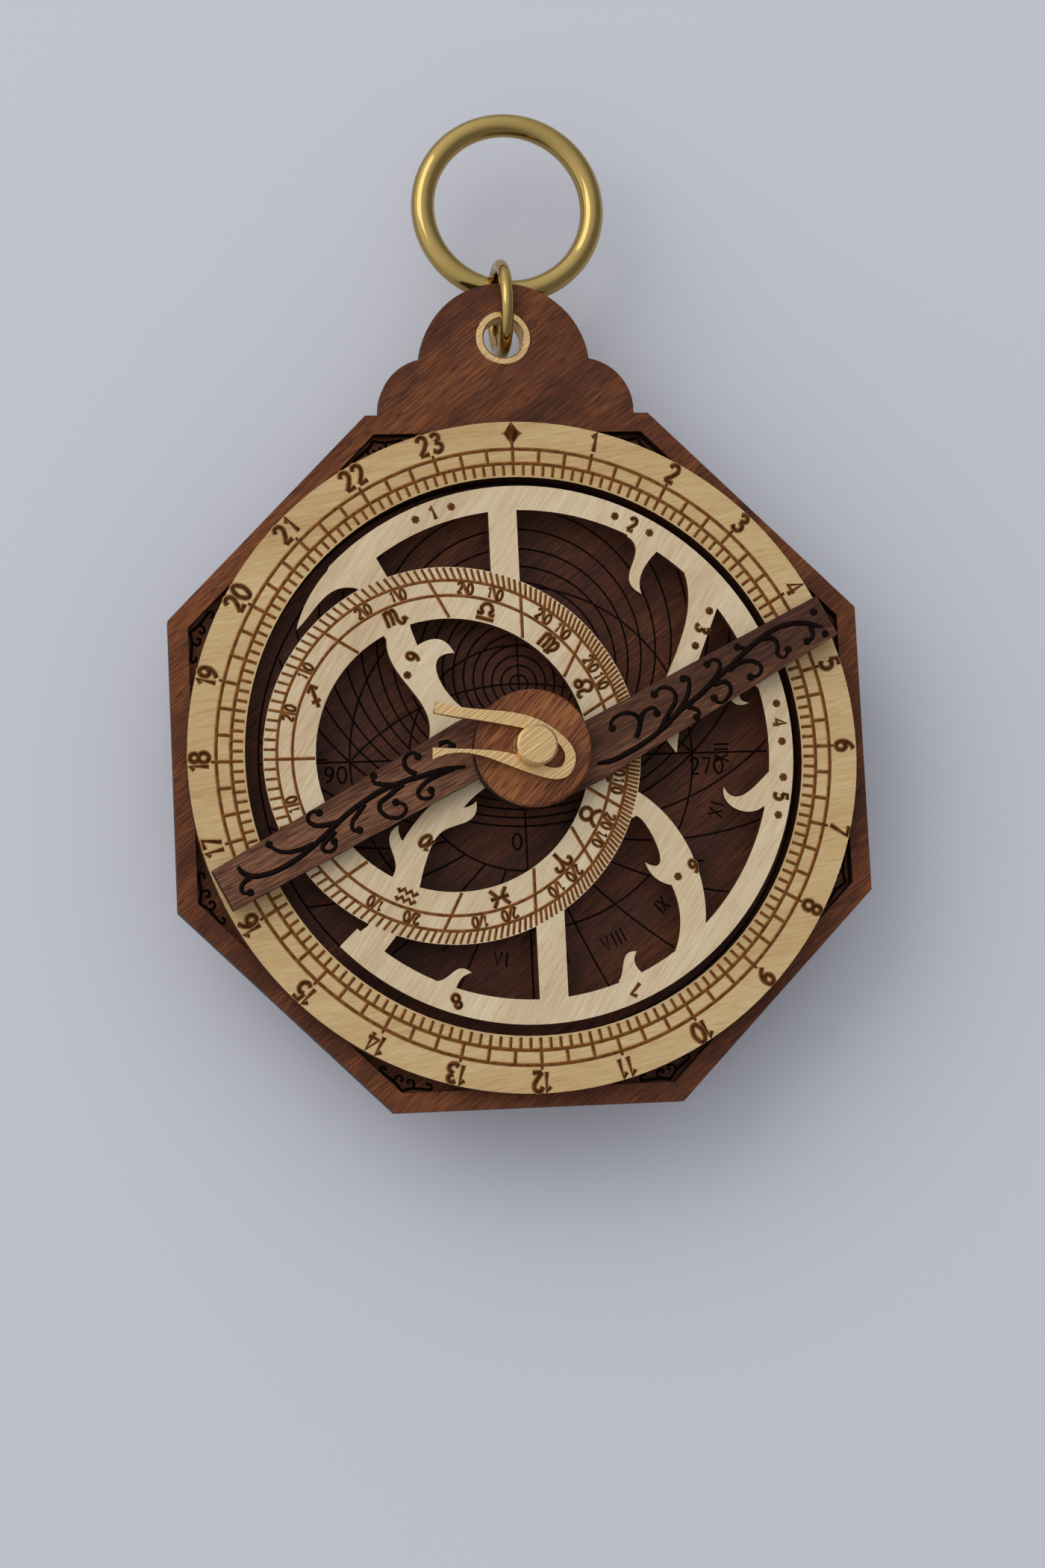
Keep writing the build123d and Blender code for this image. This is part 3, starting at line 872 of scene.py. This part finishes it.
# %% Zodiac scale
ZODIAC_EDGE, DEGREE_CIRCLE, NUMBER_CIRCLE, ZODIAC_INNER = 28.2, 26.3, 24.0, 20.6
ZODIAC_CIRCLE_LINE, TWO_DEGREE_LINE, TEN_DEGREE_LINE = 0.3, 0.27, 0.32
scale = [
    circle(DEGREE_CIRCLE, ZODIAC_CIRCLE_LINE, ZODIAC_X),
    circle(NUMBER_CIRCLE, ZODIAC_CIRCLE_LINE, ZODIAC_X),
]
for degree in range(0, 360, 2):
    ends = [on_zodiac(DEGREE_CIRCLE, degree), on_zodiac(ZODIAC_EDGE, degree)]
    scale.append(stroke(ends, TWO_DEGREE_LINE))
for degree in range(0, 360, 10):
    inner = ZODIAC_INNER if degree % 30 == 0 else NUMBER_CIRCLE
    ends = [on_zodiac(inner, degree), on_zodiac(DEGREE_CIRCLE, degree)]
    scale.append(stroke(ends, TEN_DEGREE_LINE))
engrave_with_halo("zodiac_degree_scale", "rete", "star_net", scale, scorch)

# %% [markdown]
# In each sign's field stands its mark, and the ten and twenty of its degrees stand astride their
# lines, one digit on each side. Marks turn with the ring, so their tops point away from its own
# centre and not from the pin.

# %% Zodiac figures
SIGN_CIRCLE, SIGN_HEIGHT, SIGN_LINE, SIGN_STRETCH = 22.3, 2.8, 0.42, 1.1
TENS_CIRCLE, TENS_HEIGHT, TENS_LINE, TENS_STRETCH = 25.15, 1.6, 0.3, 0.85
TENS_ASIDE = 0.78
figures = []
for number, sign in enumerate(SIGNS.values()):
    start = 180 + 30 * number
    middle = on_zodiac(SIGN_CIRCLE, start + 15)
    figures += write(sign, *middle, SIGN_HEIGHT, SIGN_LINE, outward(middle), SIGN_STRETCH)
    for step, digit in ((10, "1"), (20, "2")):
        at = on_zodiac(TENS_CIRCLE, start + step)
        facing = outward(at)
        for mark, side in ((digit, 90), ("0", -90)):
            dx, dy = polar(TENS_ASIDE, facing + side)
            figures += write(
                mark, at[0] + dx, at[1] + dy, TENS_HEIGHT, TENS_LINE, facing, TENS_STRETCH
            )
engrave_with_halo("zodiac_figures", "rete", "star_net", figures, char)

# %% [markdown]
# Each pointer of the net shows one bright star, and the star has a number where its pointer grows
# from the ring. The net is narrow, and a line may not hang in the air beside it. So a ray is cast
# down at every point of a number. If one misses the wood, the number is tried a little further
# round its place, in growing circles, until all of it has wood below.

# %% Room on the net
net_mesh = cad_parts["rete"].data
net_faces = [tuple(face.vertices) for face in net_mesh.polygons]
net_tree = BVHTree.FromPolygons([vertex.co for vertex in net_mesh.vertices], net_faces)
NUDGE_MM = 0.3
NUDGES = [(0, 0)] + [
    polar(NUDGE_MM * step, 30 * turn) for step in range(1, 9) for turn in range(12)
]


def on_wood(strokes):
    """Whether the net's wood lies under every point of these strokes."""
    above = [pivot + Vector((x * MM, y * MM, 1)) for item in strokes for x, y in item["points"]]
    return all(net_tree.ray_cast(point, (0, 0, -1))[0] for point in above)


print("the net has", len(net_faces), "faces to test against")

# %% [markdown]
# The numbers run from one to ten round the net. A small star of three crossed rays stands on each
# side of a number, as in a list of stars, wherever the wood is wide enough for it.

# %% Star numbers
STAR_PLACES = {
    "1": (-12.6, 36.5, 109), "2": (17.6, 34.3, 63), "3": (28.6, 17.6, -25),
    "4": (38.6, 3.6, 5), "5": (38.2, -7.6, -11), "6": (24.6, -17.8, -60),
    "7": (14.6, -35.8, 248), "8": (-12.4, -36.6, 289), "9": (-16.6, 14.8, 160),
    "10": (-15.2, -13.4, 220),
}
STAR_HEIGHT, STAR_LINE, STAR_STRETCH = 2.0, 0.42, 0.95
STAR_ASIDE, RAY_REACH, RAY_LINE = 2.9, 0.6, 0.32


def number_on_wood(number, x, y, facing):
    """A star's number at the first place where all of it lies on the net, and that place."""
    for right, up in NUDGES:
        digits = write(number, x + right, y + up, STAR_HEIGHT, STAR_LINE, facing, STAR_STRETCH)
        if on_wood(digits):
            break
    return digits, x + right, y + up


def small_star(x, y, facing):
    """Three short lines that cross in one point."""
    rays = []
    for turn in range(0, 180, 60):
        rx, ry = polar(RAY_REACH, facing + turn)
        rays.append(stroke([(x - rx, y - ry), (x + rx, y + ry)], RAY_LINE))
    return rays


stars = []
for number, (x, y, facing) in STAR_PLACES.items():
    digits, x, y = number_on_wood(number, x, y, facing)
    stars += digits
    for side in (90, -90):
        dx, dy = polar(STAR_ASIDE, facing + side)
        star = small_star(x + dx, y + dy, facing)
        if on_wood(star):
            stars += star
engrave_with_halo("net_star_numbers", "rete", "star_net", stars, char)

# %% [markdown]
# The plate under the net maps the sky above one place on Earth. Every line on it is a part of a
# circle whose size follows from the latitude. Blender could cut full circles with a boolean, but
# it is simpler to test the points of each circle, and to keep the runs that lie on the map.

# %% Lines on the map
LATITUDE = math.radians(43.5)
PLATE_EQUATOR = 26.1
CANCER = PLATE_EQUATOR * math.tan(math.pi / 4 - OBLIQUITY / 2)
CAPRICORN = PLATE_EQUATOR * math.tan(math.pi / 4 + OBLIQUITY / 2)
horizon_y = PLATE_EQUATOR / math.tan(LATITUDE)
horizon_radius = PLATE_EQUATOR / math.sin(LATITUDE)
PLATE_LINE = 0.3


def on_map(x, y):
    """Whether a point lies inside the map's edge."""
    return math.hypot(x, y) < CAPRICORN


def above_horizon(x, y):
    """Whether a point lies on the part of the map that shows the sky above the horizon."""
    return on_map(x, y) and math.hypot(x, y - horizon_y) < horizon_radius


def round_points(x, y, radius, parts=240):
    """Points once round a circle, from its lowest point."""
    around = [polar(radius, 360 * i / parts - 90) for i in range(parts + 1)]
    return [(x + px, y + py) for px, py in around]


def kept_runs(points, keep):
    """The stretches of a line of points that a test keeps, as strokes."""
    runs = [[]]
    for point in points:
        if keep(*point):
            runs[-1].append(point)
        elif runs[-1]:
            runs.append([])
    return [stroke(run, PLATE_LINE) for run in runs if len(run) > 1]


print("the horizon has a radius of", round(horizon_radius, 1), "mm on the plate")

# %% [markdown]
# Above the horizon lie circles of equal height, one each five degrees, closing in on the zenith.
# The two tropics and the equator are circles round the pin. One more circle runs east and west
# through the zenith, and two straight lines divide the map.

# %% Sky above the horizon
HEIGHT_STEP = 5
sky = [circle(radius, PLATE_LINE) for radius in (CANCER, PLATE_EQUATOR, CAPRICORN)]
for height in range(0, 90, HEIGHT_STEP):
    rise = math.sin(LATITUDE) + math.sin(math.radians(height))
    centre = PLATE_EQUATOR * math.cos(LATITUDE) / rise
    radius = PLATE_EQUATOR * math.cos(math.radians(height)) / rise
    sky += kept_runs(round_points(0, centre, radius), on_map)
vertical_y = -PLATE_EQUATOR * math.tan(LATITUDE)
vertical_radius = PLATE_EQUATOR / math.cos(LATITUDE)
sky += kept_runs(round_points(0, vertical_y, vertical_radius, parts=400), above_horizon)
sky.append(stroke([(0, -CAPRICORN), (0, CAPRICORN)], PLATE_LINE))
sky.append(stroke([(-CAPRICORN, 0), (CAPRICORN, 0)], PLATE_LINE))
print("strokes above the horizon:", len(sky))

# %% [markdown]
# Below the horizon lie the unequal hours, which divide each night into twelve, long in winter and
# short in summer. Each of their lines is the arc through three points: a twelfth part of the
# night's stretch on both tropics and on the equator.

# %% Unequal hours
STRAIGHT = 1e-6


def arc_through(a, b, c, parts=10):
    """Points on the round arc through three points."""
    ax, ay, bx, by, cx, cy = *a, *b, *c
    bend = 2 * (ax * (by - cy) + bx * (cy - ay) + cx * (ay - by))
    # Three points in a straight line lie on no circle
    if abs(bend) < STRAIGHT:
        return [a, b, c]
    square_a = ax * ax + ay * ay
    square_b = bx * bx + by * by
    square_c = cx * cx + cy * cy
    middle_x = (square_a * (by - cy) + square_b * (cy - ay) + square_c * (ay - by)) / bend
    middle_y = (square_a * (cx - bx) + square_b * (ax - cx) + square_c * (bx - ax)) / bend
    radius = math.hypot(ax - middle_x, ay - middle_y)
    first = math.atan2(ay - middle_y, ax - middle_x)
    last = math.atan2(cy - middle_y, cx - middle_x)
    sweep = (last - first + math.pi) % math.tau - math.pi
    turns = [first + sweep * i / parts for i in range(parts + 1)]
    return [
        (middle_x + radius * math.cos(turn), middle_y + radius * math.sin(turn)) for turn in turns
    ]


def hour_point(radius, hour):
    """The end of an unequal hour on a circle round the pin."""
    start = math.degrees(math.asin((radius**2 - PLATE_EQUATOR**2) / (2 * horizon_y * radius)))
    return polar(radius, start - (180 + 2 * start) * hour / 12)


for hour in range(1, 12):
    ends = [hour_point(radius, hour) for radius in (CANCER, PLATE_EQUATOR, CAPRICORN)]
    sky.append(stroke(arc_through(*ends), PLATE_LINE))
print("strokes with the unequal hours:", len(sky))

# %% [markdown]
# The hours are counted from one to twelve between their lines, with their tops towards the pin,
# and plain degrees mark the east, the west and the north. All lines of the plate are one mesh,
# since they are burnt into one board.

# %% Plate numbers
ROMAN = ("I", "II", "III", "IIII", "V", "VI", "VII", "VIII", "IX", "X", "XI", "XII")
ROMAN_CIRCLE, ROMAN_HEIGHT, ROMAN_STRETCH = 30.6, 2.2, 0.9
PLATE_NUMBERS = {"90": (-28.3, -1.9), "270": (28.2, -2.0), "0": (-1.4, -12.7)}
PLATE_NUMBER_HEIGHT, PLATE_NUMBER_LINE = 2.4, 0.36
for hour, numeral in enumerate(ROMAN):
    x, y = hour_point(ROMAN_CIRCLE, 11.5 - hour)
    inward = math.degrees(math.atan2(y, x)) + 180
    sky += write(numeral, x, y, ROMAN_HEIGHT, PLATE_LINE, inward, ROMAN_STRETCH)
for number, (x, y) in PLATE_NUMBERS.items():
    sky += write(number, x, y, PLATE_NUMBER_HEIGHT, PLATE_NUMBER_LINE, 90)
engrave("plate_sky_lines", "tympan_plate", "mater", sky, soot)

# %% [markdown]
# The eight corners of the frame are left open beside the round limb. On the dark floor of each
# corner two small curls are engraved, one the mirror of the other. They are written once, as
# steps aside and outwards, and a loop mirrors and turns them to each corner.

# %% Corner curls
LIMB_EDGE = 50.6
CURL_LINE = 0.42
CORNER_CURLS = [
    [(0, 2.6), (0.9, 1.95), (2, 1.5), (3.2, 1.15), (4.1, 0.75), (3.8, 0.25), (3.1, 0.4)],
    [(1.3, 1.8), (1.5, 1.1), (0.95, 0.6), (0.4, 0.9), (0.7, 1.3)],
]
curls = []
for corner in range(8):
    bearing = 22.5 + 45 * corner
    along = Vector(polar(1, bearing))
    across = Vector(polar(1, bearing + 90))
    for side in (1, -1):
        for curl in CORNER_CURLS:
            placed = [
                tuple(along * (LIMB_EDGE + out) + across * side * aside) for aside, out in curl
            ]
            curls.append(stroke(placed, CURL_LINE, smooth=True))
engrave("corner_curls", "back_board", "mater", curls, soot)

# %% [markdown]
# The rule is carved with a running vine, a common border ornament: a wavy stem, and curls that
# leave it to both sides. A vine has no formula, so its points are listed one by one. They are written
# along the rule and across it, which keeps them easy to read and to change.

# %% Vine
RIGHT_STEM = [
    (7.9, -6.3), (9.7, -6.85), (12.6, -7), (16.5, -6.7), (20, -6), (22.6, -5.1), (25.3, -4.6),
    (28.2, -3.9), (31.2, -3), (33.8, -2.4), (36.5, -1.6), (39.1, -1), (41.8, -0.7), (44.1, -1),
    (46.2, -1.85), (47.6, -2.9), (48.7, -3.8),
]
RIGHT_CURLS = [
    [(15, -5.6), (16.5, -4.1), (16.8, -3.2), (15.9, -1.85), (14.1, -1.4), (12.6, -2), (12.5, -2.7)],
    [(16.5, -4.1), (17.6, -2.9), (18.8, -2.6), (19.7, -3), (19.6, -3.8)],
    [(18.8, -6.3), (21.2, -4.6), (22.9, -3.5), (23.5, -2.3), (22.9, -1.1), (21.8, -0.7), (20.6, -1.1)],
    [(22.4, -5.1), (24.7, -3.8), (26, -2.3), (26.3, -1.1), (25.7, -1)],
    [(24.1, -4.9), (25.1, -5.8), (25.4, -6.7), (24.7, -7)],
    [(26.5, -4.35), (29.1, -3.5), (30.9, -2.6), (31.8, -1.4), (31.2, -0.5), (30, -0.7)],
    [(29.4, -3.9), (31.2, -4.35), (31.5, -5.5), (30.3, -6.6), (28.8, -6.6), (28.5, -5.7)],
    [(36.5, -1.4), (35.4, -0.5)],
    [(32.4, -3), (35.3, -2.9), (36.8, -3.8), (37.2, -4.9), (36.2, -5.7), (35, -5.4)],
    [(39.4, -1.1), (41, -2), (41, -3.2), (40.4, -4.35), (41.2, -5.1), (42.2, -4.35)],
    [(47, -2.9), (46.5, -4.35), (45.4, -4.6)],
]
LEFT_STEM = [
    (-9.9, 2.3), (-12.8, 3.3), (-15.8, 3.9), (-19.3, 4.5), (-22.2, 4.8), (-25.2, 4.6),
    (-28.1, 4.2), (-31.1, 3.4), (-33.4, 2.7), (-35.8, 2.1), (-38.1, 1.6), (-41.1, 1.4),
    (-43.7, 1.7), (-45.5, 2.4), (-46.5, 3.6), (-46.6, 4.6),
]
LEFT_CURLS = [
    [(-35.2, 2.4), (-37.5, 2.6), (-39.6, 3.3), (-40.8, 4.5), (-41.1, 5.35)],
    [(-30.5, 3.65), (-32.8, 4.2), (-34.1, 5.1), (-34.3, 6.1), (-33.1, 6.7), (-32.4, 6.1)],
    [(-20.8, 4.8), (-22.2, 5.6), (-23.1, 6.5), (-22.7, 7.3)],
    [(-16.9, 4.6), (-17.7, 5.65), (-17.8, 6.8), (-16.9, 7.7), (-15.8, 7.6), (-15.5, 6.8)],
    [(-11.9, 7), (-10.5, 6.7), (-10.2, 5.9)],
    [(-25.8, 4.2), (-27.5, 3.3), (-28.9, 2.4), (-29, 1.4), (-28.3, 1.1)],
    [(-31.5, 2.6), (-33.7, 1.8), (-34.4, 1.2), (-33.7, 0.35), (-32.5, 0.65), (-32.4, 1.4)],
    [
        (-19.3, 4.2), (-22.2, 3.6), (-24, 3), (-24.1, 1.8),
        (-23.1, 0.5), (-21.4, 0.2), (-20.6, 1.2), (-21.6, 2.3),
    ],
    [(-11.6, 2.85), (-14.6, 3), (-16.9, 2.7), (-18.1, 1.8), (-17.5, 0.8), (-16.2, 0.8), (-16.1, 1.5)],
    [(-45.5, 2.4), (-47.5, 1.7), (-47.7, 0.8), (-46.8, 0.35)],
]
CURLS = RIGHT_CURLS + LEFT_CURLS
LOOSE_DOTS = [(48.5, -4.8), (48.5, -1.1)]
print("the vine has", len(CURLS), "curls")

# %% [markdown]
# A carver's knife goes in thin, runs deep and comes out thin, so the stems taper at both ends and
# the curls towards their tips. Each curl ends in a dot, and two loose dots fill the right end.

# %% Rule scrolls
VINE_BEARING = math.radians(25.5)
STEM_START, STEM_LINE, STEM_END = 0.5, 0.85, 0.45
TIP_THINNER = 0.35
DOT_RADIUS, DOT_LINE, DOT_PARTS = 0.3, 0.62, 10


def on_rule(along, across):
    """A point of the carving on the dial."""
    return (
        along * math.cos(VINE_BEARING) - across * math.sin(VINE_BEARING),
        along * math.sin(VINE_BEARING) + across * math.cos(VINE_BEARING),
    )


vine = []
for stem in (RIGHT_STEM, LEFT_STEM):
    widths = [STEM_START] + [STEM_LINE] * (len(stem) - 2) + [STEM_END]
    vine.append(stroke([on_rule(*point) for point in stem], widths, smooth=True))
for curl in CURLS:
    widths = [STEM_LINE - TIP_THINNER * i / (len(curl) - 1) for i in range(len(curl))]
    vine.append(stroke([on_rule(*point) for point in curl], widths, smooth=True))
for dot in [curl[-1] for curl in CURLS] + LOOSE_DOTS:
    x, y = on_rule(*dot)
    vine.append(circle(DOT_RADIUS, DOT_LINE, x, y, DOT_PARTS))
engrave("rule_vine_scrolls", "rule", "rule_arm", vine, soot)

# %% [markdown]
# The astrolabe lies on a plain sheet of pale card. One large square is enough for it, and a faint
# tooth of half a millimetre keeps it from looking like plastic. It belongs to the stage and not to
# the object, so it is left out of the object's size.

# %% Table card
CARD_HALF = 2
CARD_TOOTH_MM = 0.5
CARD_TOOTH_DEPTH_MM = 0.05
CARD_TOOTH_STRENGTH = 0.15
CARD_ROUGHNESS = 0.85
floor = bmesh.new()
bmesh.ops.create_grid(floor, x_segments=1, y_segments=1, size=CARD_HALF)
floor_mesh = bpy.data.meshes.new("table_card")
floor.to_mesh(floor_mesh)
floor.free()
card = blank("pale_card")
card_place = add(card, "ShaderNodeTexCoord")
card_tooth = add(
    card,
    "ShaderNodeTexNoise",
    {"Vector": card_place.outputs["Object"], "Scale": 1 / (CARD_TOOTH_MM * MM), "Detail": 2},
)
card_bump = add(
    card,
    "ShaderNodeBump",
    {
        "Height": card_tooth.outputs["Fac"],
        "Strength": CARD_TOOTH_STRENGTH,
        "Distance": CARD_TOOTH_DEPTH_MM * MM,
    },
)
card_shader = add(
    card,
    "ShaderNodeBsdfPrincipled",
    {
        "Base Color": linear("#D3D4DB"),
        "Roughness": CARD_ROUGHNESS,
        "Normal": card_bump.outputs[0],
    },
)
finish_with(card, card_shader)
floor_mesh.materials.append(card)
table = bpy.data.objects.new("table_card", floor_mesh)
bpy.context.scene.collection.objects.link(table)
print("the card is", 2 * CARD_HALF, "m wide")

# %% [markdown]
# The light is a large soft window to the upper left, so the shadow falls softly to the right and
# below. An area lamp is the closest thing to a window: the larger it is, the softer its shadow.

# %% Window
WINDOW_WIDE, WINDOW_HIGH = 0.9, 0.8
WINDOW_WATTS = 3.4
WINDOW_PLACE = (-0.75, 0.55, 0.9)
WARM_WHITE = (1.0, 0.98, 0.95)
window_data = bpy.data.lights.new("window", "AREA")
window_data.shape = "RECTANGLE"
window_data.size = WINDOW_WIDE
window_data.size_y = WINDOW_HIGH
window_data.energy = WINDOW_WATTS
window_data.color = WARM_WHITE
window = bpy.data.objects.new("window", window_data)
window.location = WINDOW_PLACE
window.rotation_euler = (-window.location).to_track_quat("-Z", "Y").to_euler()
bpy.context.scene.collection.objects.link(window)
print("window", WINDOW_WATTS, "W")

# %% [markdown]
# The room around the table is pale near the window and darker away from it. A world of one even
# grey would light the wood just as well, but polished brass is a mirror and shows what is around
# it. So the world's strength follows the direction, which gives the rings bright and dark sides.

# %% Room
TOWARDS_WINDOW = (-0.73, 0.5, 0.47)
ROOM_DARK_BELOW = -0.1
ROOM_DARK, ROOM_BRIGHT = 0.34, 1.5
world = bpy.data.worlds.new("room")
world.use_nodes = True
world.node_tree.nodes.clear()
direction = add(world, "ShaderNodeTexCoord")
towards_window = add(
    world,
    "ShaderNodeVectorMath",
    {0: direction.outputs["Generated"], 1: TOWARDS_WINDOW},
    operation="DOT_PRODUCT",
)
strength = add(
    world,
    "ShaderNodeMapRange",
    {
        "Value": towards_window.outputs["Value"],
        "From Min": ROOM_DARK_BELOW,
        "To Min": ROOM_DARK,
        "To Max": ROOM_BRIGHT,
    },
)
room = add(
    world,
    "ShaderNodeBackground",
    {"Color": linear("#E6E8EE"), "Strength": strength.outputs[0]},
)
add(world, "ShaderNodeOutputWorld", {"Surface": room.outputs[0]})
bpy.context.scene.world = world
print("the room's light goes from", ROOM_DARK, "to", ROOM_BRIGHT)
